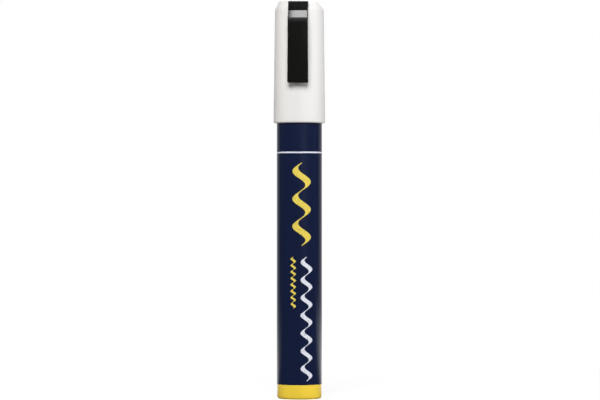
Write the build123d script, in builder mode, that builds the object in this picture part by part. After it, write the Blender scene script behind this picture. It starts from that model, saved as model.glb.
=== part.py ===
"""Liquid chalk marker: a round barrel with a pull-off cap, a sprung valve and a chisel nib.

Millimetres, +Z up. The origin is the middle of the end plug's flat foot, the cap is at the top
and the pocket clip faces -Y. Each piece of the real marker is a solid of its own.
"""

import os
from math import cos, pi, sin, sqrt

from build123d import *

# Barrel: the tube, and the stepped neck that goes up into the cap.
barrel_diameter = 15.9
barrel_wall = 1.5
barrel_length = 91.9
barrel_end_round = 0.15
neck_step = 0.55
neck_length = 9.0

# End plug: the coloured foot and the hollow spigot inside the barrel.
plug_flange_height = 5.1
plug_set_back = 0.15
plug_floor = 2.0
plug_spigot_length = 7.0
plug_spigot_wall = 1.15
plug_ridge = 0.17
plug_edge_round = 0.9

# Nose section: spigot in the barrel, flange on its end, land for the inner cap, cone round the nib.
nose_spigot_length = 11.0
nose_spigot_wall = 1.1
nose_flange_height = 1.5
nose_land_height = 5.0
nose_land_inset = 1.4
nose_cone_height = 7.5
nose_cone_step = 0.4
nose_tip_wall = 1.3
nose_tip_round = 0.5
nib_guide_length = 9.0
nib_groove_count = 4
nib_groove_radius = 0.4
feed_chamber_diameter = 7.6
snap_ridge = 0.35
snap_drop = 1.1

# Nib: a round rod with a wedge-shaped, slanted tip.
nib_diameter = 6.0
nib_projection = 9.0
nib_wedge_height = 6.0
nib_edge_thickness = 2.0
nib_slant_drop = 1.8
nib_corner_round = 0.35
press_travel = 2.5
nib_stop_gap = 0.5

# Valve: a soft seat, a housing with windows, a plunger, a spring and a ported cage.
valve_ledge_depth = 3.0
valve_seat_thickness = 2.0
valve_cone_width = 0.9
valve_cone_height = 0.9
valve_wall = 0.9
ink_gap = 0.8
window_count = 4
window_width = 2.2
window_height = 4.0
stem_gap = 0.5
stem_rib = 1.1
head_overlap = 0.8
head_height = 1.6
tail_diameter = 2.6
tail_overhang = 2.0
cage_thickness = 2.0
port_count = 6
port_diameter = 1.0
port_rim = 0.6
cage_ridge = 0.25

# Spring: plain open turns of round wire.
spring_length = 9.4
spring_mean_diameter = 3.9
spring_wire = 0.5
spring_turns = 5.5

# Cap: the tapered shell with its bevelled crown, and the ribs that hold the liner.
cap_wall = 1.62
cap_taper = 0.53
cap_lip_round = 0.7
crown_thickness = 4.6
crown_bevel_height = 2.9
crown_bevel_width = 1.5
crown_edge_round = 0.9
crown_shoulder_round = 3.0
rib_count = 6
rib_width = 0.9

# Inner cap: a thin cup with a sealing lip over the nose's land.
liner_wall = 0.7
liner_roof = 1.0
liner_gap = 0.3
liner_lip_height = 1.2
liner_relief = 0.17
nib_headroom = 5.4

# Pocket clip: root block, sloping shoulder and tongue, held by a round bead in the crown.
clip_root_width = 6.95
clip_tip_width = 7.3
clip_length = 28.75
clip_top_drop = 0.45
clip_root_proud = 1.21
clip_step = 2.5
clip_face_height = 3.25
clip_slope_drop = 3.25
clip_heel_drop = 1.2
clip_thickness = 1.7
clip_gap = 0.3
clip_bend_round = 3.0
clip_crease_round = 0.3
clip_edge_round = 0.3
clip_tip_round = 0.5
clip_nub_width = 4.0
clip_nub_rise = 2.4
notch_depth = 2.6
notch_side_gap = 0.1
notch_back_gap = 0.4
bead_radius = 0.9
bead_inset = 1.99
bead_sink = 0.5
bead_neck_width = 1.3
clip_back = 0.85

# Mixing balls: two side by side across the plug's cup.
ball_gap = 0.2
ball_side_gap = 0.37

# Clearances, all radial.
press_gap = 0.03
slide_gap = 0.05
cap_gap = 0.10
seat_gap = 0.05

# Radii that follow from the values above.
barrel_r = barrel_diameter / 2
bore_r = barrel_r - barrel_wall
neck_r = barrel_r - neck_step
plug_r = barrel_r - plug_set_back
spigot_r = bore_r - press_gap
cup_r = spigot_r - plug_spigot_wall
land_r = neck_r - nose_land_inset
nib_r = nib_diameter / 2
guide_r = nib_r + slide_gap
tip_r = guide_r + nose_tip_wall
feed_r = feed_chamber_diameter / 2
socket_r = spigot_r - nose_spigot_wall
housing_r = socket_r - press_gap
valve_bore_r = housing_r - valve_wall
cage_r = valve_bore_r - press_gap
head_r = valve_bore_r - ink_gap
seat_hole_r = head_r - head_overlap
cone_r = seat_hole_r + valve_cone_width
stem_r = seat_hole_r - stem_gap
tail_r = tail_diameter / 2
cap_bore_r = neck_r + cap_gap
mouth_r = cap_bore_r + cap_wall
shoulder_r = mouth_r - cap_taper
liner_lip_r = land_r + press_gap
liner_in_r = liner_lip_r + liner_relief
liner_out_r = liner_in_r + liner_wall
rib_in_r = liner_out_r + press_gap
ball_r = (cup_r - ball_gap / 2 - ball_side_gap) / 2

# Heights, built up from the foot.
z_plug = plug_flange_height
z_mouth = z_plug + barrel_length
z_neck = z_mouth + neck_length
z_flange = z_neck + nose_flange_height
z_land = z_flange + nose_land_height
z_nose = z_land + nose_cone_height
z_tip = z_nose + nib_projection
z_roof = z_tip + nib_headroom
z_liner = z_roof + liner_roof
z_crown = z_liner + crown_thickness
z_bevel = z_crown - crown_bevel_height
z_spigot = z_neck - nose_spigot_length
z_snap = z_mouth - snap_drop
z_ledge = z_neck - valve_ledge_depth
z_seat = z_ledge - valve_seat_thickness
z_nib = z_ledge + press_travel + nib_stop_gap
z_head = z_seat - head_height
z_cage = z_head - spring_length
z_valve = z_cage - cage_thickness
z_tail = z_valve - tail_overhang
z_notch = z_crown - notch_depth
z_bead = z_notch - bead_sink
z_top = z_crown - clip_top_drop
z_crease = z_top - clip_face_height
z_bend = z_crease - clip_slope_drop
z_heel = z_crease - clip_heel_drop
z_end = z_top - clip_length
z_nub = z_end + clip_nub_rise
z_under = z_notch + clip_gap / 2


def corner(sketch, r, z):
    """Gives the corner of a profile that lies nearest to a radius and a height."""
    return sketch.vertices().sort_by_distance((r, z, 0))[0]


def ridge(r, z, height, gap=0.0):
    """Gives the corners of a ridge with sloping flanks on a wall, or of its groove, wider by a gap."""
    return [
        (r, z - 2 * height - gap),
        (r + height + gap, z - height / 2 - gap),
        (r + height + gap, z + height / 2 + gap),
        (r, z + 2 * height + gap),
    ]


def cap_radius(z):
    """Gives the cap's outer radius at a height on its tapered wall."""
    return mouth_r - cap_taper * (z - z_mouth) / (z_bevel - z_mouth)


def clip_width(z):
    """Gives the clip's width at a height: it widens evenly from its root to its end."""
    return clip_root_width + (clip_tip_width - clip_root_width) * (z_top - z) / clip_length


# The barrel, with a stepped neck for the cap and a groove that the nose's ridge clicks into.
with BuildPart() as barrel:
    with BuildSketch(Plane.XZ) as tube:
        with BuildLine():
            Polyline(
                (bore_r, z_plug),
                (barrel_r, z_plug),
                (barrel_r, z_mouth),
                (neck_r, z_mouth),
                (neck_r, z_neck),
                (bore_r, z_neck),
                close=True,
            )
        make_face()
        fillet(corner(tube, barrel_r, z_plug), radius=barrel_end_round)
        fillet(corner(tube, barrel_r, z_mouth), radius=barrel_end_round)
    revolve(axis=Axis.Z)
    with BuildSketch(Plane.XZ):
        Polygon(*ridge(spigot_r, z_snap, snap_ridge, slide_gap), align=None)
    revolve(axis=Axis.Z, mode=Mode.SUBTRACT)

# The end plug: a rounded foot, and a hollow spigot with two sealing ridges.
plug_relief_r = spigot_r - plug_ridge
with BuildPart() as end_plug:
    with BuildSketch(Plane.XZ) as foot:
        with BuildLine():
            Polyline(
                (0, 0),
                (plug_r, 0),
                (plug_r, z_plug),
                (plug_relief_r, z_plug),
                (plug_relief_r, z_plug + plug_spigot_length),
                (cup_r, z_plug + plug_spigot_length),
                (cup_r, plug_floor),
                (0, plug_floor),
                close=True,
            )
        make_face()
        fillet(corner(foot, plug_r, 0), radius=plug_edge_round)
        fillet(corner(foot, plug_r, z_plug), radius=barrel_end_round)
        fillet(corner(foot, cup_r, plug_floor), radius=plug_edge_round)
    revolve(axis=Axis.Z)
    with BuildSketch(Plane.XZ):
        Polygon(*ridge(plug_relief_r, z_plug + plug_spigot_length / 3, plug_ridge), align=None)
        Polygon(*ridge(plug_relief_r, z_plug + plug_spigot_length * 2 / 3, plug_ridge), align=None)
    revolve(axis=Axis.Z)

# The nose section: it closes the barrel, carries the valve below and guides the nib above.
with BuildPart() as nose_section:
    with BuildSketch(Plane.XZ) as nose:
        with BuildLine():
            Polyline(
                (socket_r, z_spigot),
                (spigot_r, z_spigot),
                (spigot_r, z_neck),
                (neck_r, z_neck),
                (neck_r, z_flange),
                (land_r, z_flange),
                (land_r, z_land),
                (land_r - nose_cone_step, z_land),
                (tip_r, z_nose),
                (guide_r, z_nose),
                (guide_r, z_nose - nib_guide_length),
                (feed_r, z_nose - nib_guide_length - (feed_r - guide_r)),
                (feed_r, z_ledge),
                (socket_r, z_ledge),
                close=True,
            )
        make_face()
        fillet(corner(nose, tip_r, z_nose), radius=nose_tip_round)
        fillet(corner(nose, land_r, z_land), radius=nose_cone_step / 2)
        fillet(corner(nose, neck_r, z_flange), radius=barrel_end_round)
    revolve(axis=Axis.Z)
    with BuildSketch(Plane.XZ):
        Polygon(*ridge(spigot_r, z_snap, snap_ridge), align=None)
    revolve(axis=Axis.Z)
    with BuildSketch(Plane.XY.offset(z_nose - nib_guide_length - nib_groove_radius)):
        with PolarLocations(guide_r, nib_groove_count, start_angle=180 / nib_groove_count):
            Circle(nib_groove_radius)
    extrude(amount=nib_guide_length + 2 * nib_groove_radius, mode=Mode.SUBTRACT)

# The nib: a fibre rod whose top is a wedge, cut off on a slant.
with BuildPart() as nib:
    with BuildSketch(Plane.XY.offset(z_nib)):
        Circle(nib_r)
    extrude(amount=z_tip - z_nib)
    with BuildSketch(Plane.YZ):
        with BuildLine():
            Polyline(
                (nib_r, z_tip - nib_wedge_height),
                (nib_edge_thickness / 2, z_tip),
                (nib_r, z_tip),
                close=True,
            )
        make_face()
        mirror(about=Plane.YZ)
    extrude(amount=nib_r, both=True, mode=Mode.SUBTRACT)
    with BuildSketch(Plane.XZ):
        with BuildLine():
            Polyline((-nib_r, z_tip), (nib_r, z_tip), (nib_r, z_tip - nib_slant_drop), close=True)
        make_face()
    extrude(amount=nib_r, both=True, mode=Mode.SUBTRACT)
    fillet(nib.edges().filter_by_position(Axis.Z, z_tip - nib_wedge_height + 1, z_tip), nib_corner_round)

# The soft valve seat: a ring with a conical mouth on the ink side.
with BuildPart() as valve_seat:
    with BuildSketch(Plane.XZ):
        with BuildLine():
            Polyline(
                (seat_hole_r, z_ledge),
                (housing_r, z_ledge),
                (housing_r, z_seat),
                (cone_r, z_seat),
                (seat_hole_r, z_seat + valve_cone_height),
                close=True,
            )
        make_face()
    revolve(axis=Axis.Z)

# The valve housing: a tube with windows that let ink in round the spring.
with BuildPart() as valve_housing:
    with BuildSketch(Plane.XZ):
        with BuildLine():
            Polyline(
                (valve_bore_r, z_valve),
                (housing_r, z_valve),
                (housing_r, z_seat),
                (valve_bore_r, z_seat),
                close=True,
            )
        make_face()
    revolve(axis=Axis.Z)
    with PolarLocations(valve_bore_r + valve_wall / 2, window_count):
        with Locations((0, 0, z_cage + window_height / 2 + valve_wall)):
            Box(3 * valve_wall, window_width, window_height, mode=Mode.SUBTRACT)
    with BuildSketch(Plane.XZ):
        Polygon(*ridge(cage_r, z_valve + cage_thickness / 2, cage_ridge, press_gap), align=None)
    revolve(axis=Axis.Z, mode=Mode.SUBTRACT)

# The plunger: fluted stem up to the nib, cone under the seat, plain tail through the cage.
cone_slope = valve_cone_height / valve_cone_width
cone_drop = seat_gap * sqrt(1 + cone_slope**2)
z_cone = z_seat + valve_cone_height - cone_drop - (head_r - seat_hole_r) * cone_slope
with BuildPart() as valve_plunger:
    with BuildSketch(Plane.XZ):
        with BuildLine():
            Polyline(
                (0, z_tail),
                (tail_r, z_tail),
                (tail_r, z_head),
                (head_r, z_head),
                (head_r, z_cone),
                (stem_r, z_cone + (head_r - stem_r) * cone_slope),
                (0, z_cone + (head_r - stem_r) * cone_slope),
                close=True,
            )
        make_face()
    revolve(axis=Axis.Z)
    with BuildSketch(Plane.XY.offset(z_head + head_height / 2)):
        Rectangle(2 * stem_r, stem_rib)
        Rectangle(stem_rib, 2 * stem_r)
        Circle(stem_r, mode=Mode.INTERSECT)
    extrude(amount=z_nib - z_head - head_height / 2)
    chamfer(valve_plunger.faces().sort_by(Axis.Z)[0].edges(), length=tail_r / 4)

# The spring: one unbroken wire of open turns between the cage and the plunger's head.
spring_r = spring_mean_diameter / 2
spring_low = z_cage + spring_wire / 2 + press_gap
spring_rise = spring_length - spring_wire - 2 * press_gap
spring_steps = round(4 * spring_turns)


def spring_point(step):
    """Gives the wire's centre after a number of quarter turns."""
    turn = step * pi / 2
    return Vector(spring_r * cos(turn), spring_r * sin(turn), spring_low + spring_rise * step / spring_steps)


def spring_tangent(step):
    """Gives the wire's direction after a number of quarter turns."""
    turn = step * pi / 2
    lead = 2 * spring_rise / (spring_steps * pi)
    return Vector(-spring_r * sin(turn), spring_r * cos(turn), lead).normalized()


with BuildPart() as valve_spring:
    with BuildLine() as coil:
        for step in range(spring_steps):
            start = spring_point(step)
            end = spring_point(step + 1)
            leave = spring_tangent(step)
            arrive = spring_tangent(step + 1)
            chord = end - start
            along = chord.dot(leave + arrive)
            spread = 2 * (1 - leave.dot(arrive))
            reach = (sqrt(along**2 + spread * chord.dot(chord)) - along) / spread
            knee_in = start + leave * reach
            knee_out = end - arrive * reach
            middle = (knee_in + knee_out) * 0.5
            TangentArc(start, middle, tangent=leave)
            TangentArc(middle, end, tangent=knee_out - knee_in)
    with BuildSketch(Plane(spring_point(0), x_dir=(1, 0, 0), z_dir=spring_tangent(0))):
        Circle(spring_wire / 2)
    sweep(path=coil.line)

spring_gap = min(
    (spring_point(a / 8) - spring_point(b / 8)).length
    for a in range(8 * spring_steps + 1)
    for b in range(a + 16, 8 * spring_steps + 1)
) - spring_wire
print("valve spring: least gap between its turns", round(spring_gap, 3), "mm")

# The cage: a disc with ink ports, a guide hole for the plunger's tail and a ridge that clicks in.
port_ring_r = valve_bore_r - port_rim - port_diameter / 2
with BuildPart() as valve_cage:
    with BuildSketch(Plane.XY.offset(z_valve)):
        Circle(cage_r)
        Circle(tail_r + slide_gap, mode=Mode.SUBTRACT)
        with PolarLocations(port_ring_r, port_count):
            Circle(port_diameter / 2, mode=Mode.SUBTRACT)
    extrude(amount=cage_thickness)
    with BuildSketch(Plane.XZ):
        Polygon(*ridge(cage_r, z_valve + cage_thickness / 2, cage_ridge), align=None)
    revolve(axis=Axis.Z)

# The cap: a tapered shell with a thick crown, ribs inside and a notch for the clip's root.
notch_width = clip_width(z_bead - bead_radius) + 2 * notch_side_gap
bead_u = shoulder_r - bead_inset
back_u = bead_u - clip_back
with BuildPart() as cap_shell:
    with BuildSketch(Plane.XZ) as shell:
        with BuildLine():
            Polyline(
                (0, z_crown),
                (shoulder_r - crown_bevel_width, z_crown),
                (shoulder_r, z_bevel),
                (mouth_r, z_mouth),
                (cap_bore_r, z_mouth),
                (cap_bore_r, z_liner),
                (0, z_liner),
                close=True,
            )
        make_face()
        fillet(corner(shell, shoulder_r - crown_bevel_width, z_crown), radius=crown_edge_round)
        fillet(corner(shell, shoulder_r, z_bevel), radius=crown_shoulder_round)
        fillet(corner(shell, mouth_r, z_mouth), radius=cap_lip_round)
    revolve(axis=Axis.Z)
    with BuildSketch(Plane.XY.offset(z_flange + 2 * nose_flange_height)):
        with PolarLocations((rib_in_r + cap_bore_r + rib_width / 2) / 2, rib_count):
            Rectangle(cap_bore_r + rib_width / 2 - rib_in_r, rib_width)
    extrude(until=Until.NEXT)
    with BuildSketch(Plane.XY.offset(z_notch)):
        with Locations((0, -(back_u - notch_back_gap))):
            Rectangle(
                notch_width,
                2 * shoulder_r,
                align=(Align.CENTER, Align.MAX),
            )
    extrude(amount=crown_thickness, mode=Mode.SUBTRACT)
    with Locations((0, -bead_u, z_bead)):
        Cylinder(
            bead_radius + slide_gap,
            notch_width,
            rotation=(0, 90, 0),
            mode=Mode.SUBTRACT,
        )

# The inner cap: a cup whose lip closes on the nose's land.
with BuildPart() as inner_cap:
    with BuildSketch(Plane.XZ) as cup:
        with BuildLine():
            Polyline(
                (liner_lip_r, z_flange + liner_gap),
                (liner_out_r, z_flange + liner_gap),
                (liner_out_r, z_liner),
                (0, z_liner),
                (0, z_roof),
                (liner_in_r, z_roof),
                (liner_in_r, z_flange + liner_gap + liner_lip_height + liner_relief),
                (liner_lip_r, z_flange + liner_gap + liner_lip_height),
                close=True,
            )
        make_face()
        fillet(corner(cup, liner_in_r, z_roof), radius=liner_wall)
    revolve(axis=Axis.Z)

# The pocket clip: its side is drawn outward from the cap's axis and trimmed to its front outline.
clip_front_u = shoulder_r + clip_root_proud
tongue_u = clip_front_u + clip_step
inside_u = tongue_u - clip_thickness
bevel_u = shoulder_r - crown_bevel_width * (z_notch - z_bevel) / crown_bevel_height
nub_radius = inside_u - cap_radius(z_nub) - clip_gap


def on_clip_face(edge):
    """Tells whether an edge borders the front of the root block, the slope or the tongue."""
    point = edge.center()
    slope_share = min(max((z_crease - point.Z) / clip_slope_drop, 0), 1)
    face_u = clip_front_u + clip_step * slope_share
    border = abs(point.X) > clip_root_width / 3 or not z_end + clip_gap < point.Z < z_top - clip_gap
    return border and -point.Y > face_u - clip_gap


with BuildPart() as pocket_clip:
    with BuildSketch(Plane.YZ) as side:
        with BuildLine():
            Polyline(
                (-back_u, z_under),
                (-back_u, z_top),
                (-clip_front_u, z_top),
                (-clip_front_u, z_crease),
                (-tongue_u, z_bend),
                (-tongue_u, z_end),
                (-inside_u, z_end),
                (-inside_u, z_bend - clip_gap),
                (-shoulder_r - clip_gap, z_heel),
                (-shoulder_r - clip_gap, z_bevel),
                (-bevel_u - clip_gap, z_under),
                close=True,
            )
        make_face()
        fillet(corner(side, -clip_front_u, z_crease), radius=clip_crease_round)
        fillet(corner(side, -tongue_u, z_bend), radius=clip_bend_round)
        fillet(corner(side, -inside_u, z_bend - clip_gap), radius=clip_bend_round)
        fillet(corner(side, -inside_u, z_end), radius=clip_tip_round)
        with Locations((-bead_u, z_bead)):
            Circle(bead_radius)
            Rectangle(bead_neck_width, z_under - z_bead + clip_gap, align=(Align.CENTER, Align.MIN))
    extrude(amount=clip_tip_width, both=True)
    with BuildSketch(Plane.XZ) as front:
        with BuildLine():
            Polyline(
                (clip_root_width / 2, z_top),
                (-clip_root_width / 2, z_top),
                (-clip_tip_width / 2, z_end),
                (clip_tip_width / 2, z_end),
                close=True,
            )
        make_face()
        fillet(front.vertices().group_by(Axis.Y)[0], radius=clip_tip_round)
    extrude(amount=2 * tongue_u, mode=Mode.INTERSECT)
    fillet(pocket_clip.edges().filter_by(on_clip_face), radius=clip_edge_round)
    with Locations((0, -inside_u, z_nub)):
        Cylinder(nub_radius, clip_nub_width, rotation=(0, 90, 0))

# The mixing balls, side by side on the plug's floor.
with BuildPart() as mixing_ball_left:
    with Locations((-ball_r - ball_gap / 2, 0, plug_floor + ball_r + press_gap)):
        Sphere(ball_r)

with BuildPart() as mixing_ball_right:
    with Locations((ball_r + ball_gap / 2, 0, plug_floor + ball_r + press_gap)):
        Sphere(ball_r)

print("overall length", round(z_crown, 2), "mm")
print("hinge bead at y", round(-bead_u, 3), "z", round(z_bead, 3), "mm")
print("room over the nib from z", round(z_tip, 3), "to", round(z_roof, 3), "mm")
print("cage top z", round(z_cage, 3), "mm, plunger tail z", round(z_tail, 3), "mm")

os.makedirs("parts", exist_ok=True)
barrel.part.label = "barrel"
export_step(barrel.part, "parts/barrel.step")
end_plug.part.label = "end_plug"
export_step(end_plug.part, "parts/end_plug.step")
nose_section.part.label = "nose_section"
export_step(nose_section.part, "parts/nose_section.step")
nib.part.label = "nib"
export_step(nib.part, "parts/nib.step")
valve_seat.part.label = "valve_seat"
export_step(valve_seat.part, "parts/valve_seat.step")
valve_housing.part.label = "valve_housing"
export_step(valve_housing.part, "parts/valve_housing.step")
valve_plunger.part.label = "valve_plunger"
export_step(valve_plunger.part, "parts/valve_plunger.step")
valve_spring.part.label = "valve_spring"
export_step(valve_spring.part, "parts/valve_spring.step")
valve_cage.part.label = "valve_cage"
export_step(valve_cage.part, "parts/valve_cage.step")
cap_shell.part.label = "cap_shell"
export_step(cap_shell.part, "parts/cap_shell.step")
inner_cap.part.label = "inner_cap"
export_step(inner_cap.part, "parts/inner_cap.step")
pocket_clip.part.label = "pocket_clip"
export_step(pocket_clip.part, "parts/pocket_clip.step")
mixing_ball_left.part.label = "mixing_ball_left"
export_step(mixing_ball_left.part, "parts/mixing_ball_left.step")
mixing_ball_right.part.label = "mixing_ball_right"
export_step(mixing_ball_right.part, "parts/mixing_ball_right.step")
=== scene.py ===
"""Models and finishes a liquid chalk marker round its CAD frame, and sets it in a white studio.

Metres, in the frame's own axes: the marker stands on its foot at the origin, the cap is at the top and
the pocket clip faces -Y.
"""

from collections import namedtuple
from math import cos, pi, radians, sin, tan

import bmesh
import bpy
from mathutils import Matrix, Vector


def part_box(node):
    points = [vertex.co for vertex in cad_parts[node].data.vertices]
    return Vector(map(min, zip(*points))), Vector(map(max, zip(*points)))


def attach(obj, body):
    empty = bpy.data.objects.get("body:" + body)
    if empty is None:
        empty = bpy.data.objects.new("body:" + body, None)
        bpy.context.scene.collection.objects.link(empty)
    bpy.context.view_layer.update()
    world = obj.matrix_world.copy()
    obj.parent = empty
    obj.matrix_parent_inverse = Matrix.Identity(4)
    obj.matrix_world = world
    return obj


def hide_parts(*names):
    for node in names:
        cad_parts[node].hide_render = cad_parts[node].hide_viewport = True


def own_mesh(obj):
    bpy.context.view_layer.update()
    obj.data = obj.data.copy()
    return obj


bl_info = {
    "name": "Liquid chalk marker",
    "version": (1, 0, 0),
    "blender": (4, 5, 0),
    "location": "View3D > Sidebar > Marker",
    "description": "Models and finishes the pieces of a liquid chalk marker round its CAD frame",
    "category": "Object",
}

Wave = namedtuple("Wave", "centre swing nib low high")
Lamp = namedtuple("Lamp", "place width lights mirrors")

MM = 0.001
MERGE_DISTANCE = 1e-6
SMOOTH_ANGLE = radians(32)

# Steps of a full turn, of an outline's round, of an edge's round and of one turn of the spring
SPIN_STEPS = 128
ROUND_STEPS = 5
EDGE_STEPS = 3
COIL_STEPS = 36

# Sides of a bar, of an air groove and of the spring's wire
BAR_SIDES = 48
GROOVE_SIDES = 24
WIRE_SIDES = 20

# Air grooves in the nose, and ribs in the cap
GROOVE_COUNT = 4
RIB_COUNT = 6

# Sockets of the Mix node for colours
MIX_SHARE, MIX_FIRST, MIX_SECOND, MIX_RESULT = 0, 6, 7, 2

# Slant and thinnest line of the chisel nib that draws the printed waves
NIB_SLANT = radians(30)
HAIRLINE = 0.18 * MM

# Softness and raggedness of a printed edge, the length of a wave in swings, and half the mould seam's width
PRINT_SOFT = 0.05 * MM
RAGGED_EDGE = 0.3 * MM
WAVE_SWINGS = 3.9
SEAM = 0.08 * MM

# Printed waves, broad to fine: middle and swing across the barrel, width of the nib, lower and upper end
WAVES = (
    Wave(centre=1.25 * MM, swing=2.3 * MM, nib=2.2 * MM, low=54 * MM, high=83 * MM),
    Wave(centre=3.0 * MM, swing=1.5 * MM, nib=1.4 * MM, low=6.5 * MM, high=50 * MM),
    Wave(centre=-1.8 * MM, swing=0.6 * MM, nib=0.7 * MM, low=32 * MM, high=50 * MM),
)

# How far below the nib's tip its stain begins and is full, and how ragged the stain's edge is
STAIN_FROM, STAIN_FULL, STAIN_RAGGED = 9.5 * MM, 3.0 * MM, 5 * MM

# Lamps: where each hangs, how wide it is, and whether it lights surfaces and shows as a reflection
LAMPS = {
    "key": Lamp(Vector((-0.03, -1.02, 0.66)), width=0.58, lights=True, mirrors=False),
    "top": Lamp(Vector((0, -0.18, 1.0)), width=0.36, lights=False, mirrors=True),
    "right": Lamp(Vector((0.95, -0.04, 0.25)), width=0.35, lights=True, mirrors=False),
    "left": Lamp(Vector((-0.95, -0.04, 0.38)), width=0.35, lights=True, mirrors=False),
    "rear": Lamp(Vector((0.05, 0.95, 0.58)), width=0.6, lights=True, mirrors=True),
}
FLOOR_WIDTH = 8
VIEW_DEPTH = 20

# How far back a direction points where the light behind begins, and where it is full
BEHIND_FROM, BEHIND_FULL = 0.35, 0.85

# The same for the light above, by how far up a direction points
ABOVE_FROM, ABOVE_FULL = 0.15, 1.0

# How far right a direction points where the glow begins and ends, and how soft both are
GLOW_FROM, GLOW_TO, GLOW_SOFT = 0.2, 0.65, 0.25

# Where the floor light is full, begins to fade and ends, in shadow reaches from the marker
NEAR_FULL, NEAR_FADE, NEAR_END = 0.3, 0.4, 2.4

# Grey of the floor in bounced light, then a painted pool of light: the grey added to it round the marker's
# foot, which lights the foot's lower edge, and where that begins to fade and ends
FLOOR_GREY, FOOT_BOUNCE_LIGHT, FOOT_FADE, FOOT_END = 0.22, 0.2, 20 * MM, 60 * MM

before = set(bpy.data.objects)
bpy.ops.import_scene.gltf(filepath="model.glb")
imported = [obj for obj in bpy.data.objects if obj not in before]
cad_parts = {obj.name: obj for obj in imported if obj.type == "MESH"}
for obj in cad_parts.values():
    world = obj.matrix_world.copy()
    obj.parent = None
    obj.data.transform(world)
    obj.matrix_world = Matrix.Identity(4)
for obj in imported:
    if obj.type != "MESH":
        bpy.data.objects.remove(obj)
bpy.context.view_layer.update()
barrel_low, barrel_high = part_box("barrel")
_, plug_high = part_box("end_plug")
nose_low, nose_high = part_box("nose_section")
nib_low, nib_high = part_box("nib")
spring_low, spring_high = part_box("valve_spring")
cap_low, cap_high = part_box("cap_shell")
liner_low, liner_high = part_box("inner_cap")
clip_low, clip_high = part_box("pocket_clip")


def size(name, millimetres, description):
    """Gives a length property whose default is stated in millimetres."""
    return bpy.props.FloatProperty(
        name=name, description=description, default=millimetres * MM, unit="LENGTH", precision=5
    )


def tint(name, rgb, description):
    """Gives a colour property, in linear light."""
    return bpy.props.FloatVectorProperty(
        name=name, description=description, default=rgb, size=3, min=0.0, max=1.0, subtype="COLOR"
    )


def plain(name, value, description):
    """Gives a property that is a bare number, such as a count or a lamp's strength."""
    return bpy.props.FloatProperty(name=name, description=description, default=value)


class BarrelSettings(bpy.types.PropertyGroup):
    """Sizes and colours of the barrel and its print."""

    bore: size("Bore radius", 6.45, "Inside radius of the tube")
    neck: size("Neck radius", 7.40, "Radius of the stepped neck that goes up into the cap")
    end_round: size("End round", 0.15, "Round of the tube's two outer ends")
    groove_height: size("Groove height", 95.9, "Height of the groove that holds the nose's ridge")
    groove_depth: size("Groove depth", 0.37, "Depth of that groove into the bore")
    ring_height: size("Ring height", 86.65, "Height of the printed ring")
    ring_width: size("Ring width", 0.52, "Width of the printed ring")
    navy: tint("Navy", (0.0055, 0.0105, 0.039), "Colour of the barrel")
    yellow: tint("Yellow ink", (0.78, 0.62, 0.10), "Colour of the broad and the fine printed wave")
    white: tint("White ink", (0.72, 0.74, 0.82), "Colour of the printed ring and the middle wave")


class PlugSettings(bpy.types.PropertyGroup):
    """Sizes and colour of the end plug."""

    cup: size("Cup radius", 5.27, "Inside radius of the hollow spigot")
    spigot: size("Spigot radius", 6.25, "Outside radius of the spigot between its ridges")
    floor: size("Floor height", 2.0, "Height of the floor that the balls lie on")
    flange: size("Flange height", 5.1, "Height of the visible foot")
    ridge: size("Ridge height", 0.17, "Height of the two sealing ridges")
    edge_round: size("Edge round", 0.9, "Round of the foot's lower edge")
    rim_round: size("Rim round", 0.15, "Round of the foot's upper edge")
    dimple: size("Dimple radius", 2.2, "Radius of the moulding dimple under the foot")
    dimple_depth: size("Dimple depth", 0.3, "Depth of that dimple")
    yellow: tint("Yellow", (0.83, 0.59, 0.050), "Colour of the plug")


class NoseSettings(bpy.types.PropertyGroup):
    """Sizes and colour of the nose section."""

    socket: size("Socket radius", 5.32, "Inside radius round the valve")
    spigot: size("Spigot radius", 6.42, "Radius of the part inside the barrel")
    ridge: size("Ridge height", 0.35, "Height of the ridge that clicks into the barrel")
    flange: size("Flange height", 1.5, "Height of the ring that rests on the barrel's neck")
    rim_round: size("Rim round", 0.15, "Round of that ring's upper edge")
    land: size("Land radius", 6.0, "Radius of the land that the inner cap closes on")
    land_height: size("Land height", 5.0, "Height of that land")
    step: size("Cone step", 0.4, "Step from the land to the cone")
    tip: size("Tip radius", 4.35, "Radius at the top of the cone")
    tip_round: size("Tip round", 0.5, "Round of the cone's top edge")
    guide: size("Guide radius", 3.05, "Radius of the hole that the nib runs in")
    guide_length: size("Guide length", 9.0, "Length of that hole")
    feed: size("Feed radius", 3.8, "Radius of the ink chamber under the nib")
    ledge: size("Ledge drop", 3.0, "How far the valve's ledge lies below the barrel's end")
    groove: size("Groove radius", 0.4, "Radius of the four air grooves along the guide")
    white: tint("White", (0.66, 0.655, 0.63), "Colour of the nose section")


class NibSettings(bpy.types.PropertyGroup):
    """Sizes and colours of the chisel nib."""

    tip: size("Tip height", 129.0, "Height of the wedge's edge before it is cut on a slant")
    wedge: size("Wedge height", 6.0, "Height of the two sloping cheeks")
    edge: size("Edge thickness", 2.0, "Thickness of the chisel edge")
    slant: size("Slant drop", 1.8, "How far one side of the edge is lower than the other")
    edge_round: size("Edge round", 0.35, "Round of the wedge's edges")
    fibre: tint("Fibre", (0.80, 0.72, 0.46), "Colour of the clean fibre")
    ink: tint("Ink", (0.80, 0.56, 0.045), "Colour of the ink that the fibre has soaked up")


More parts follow.
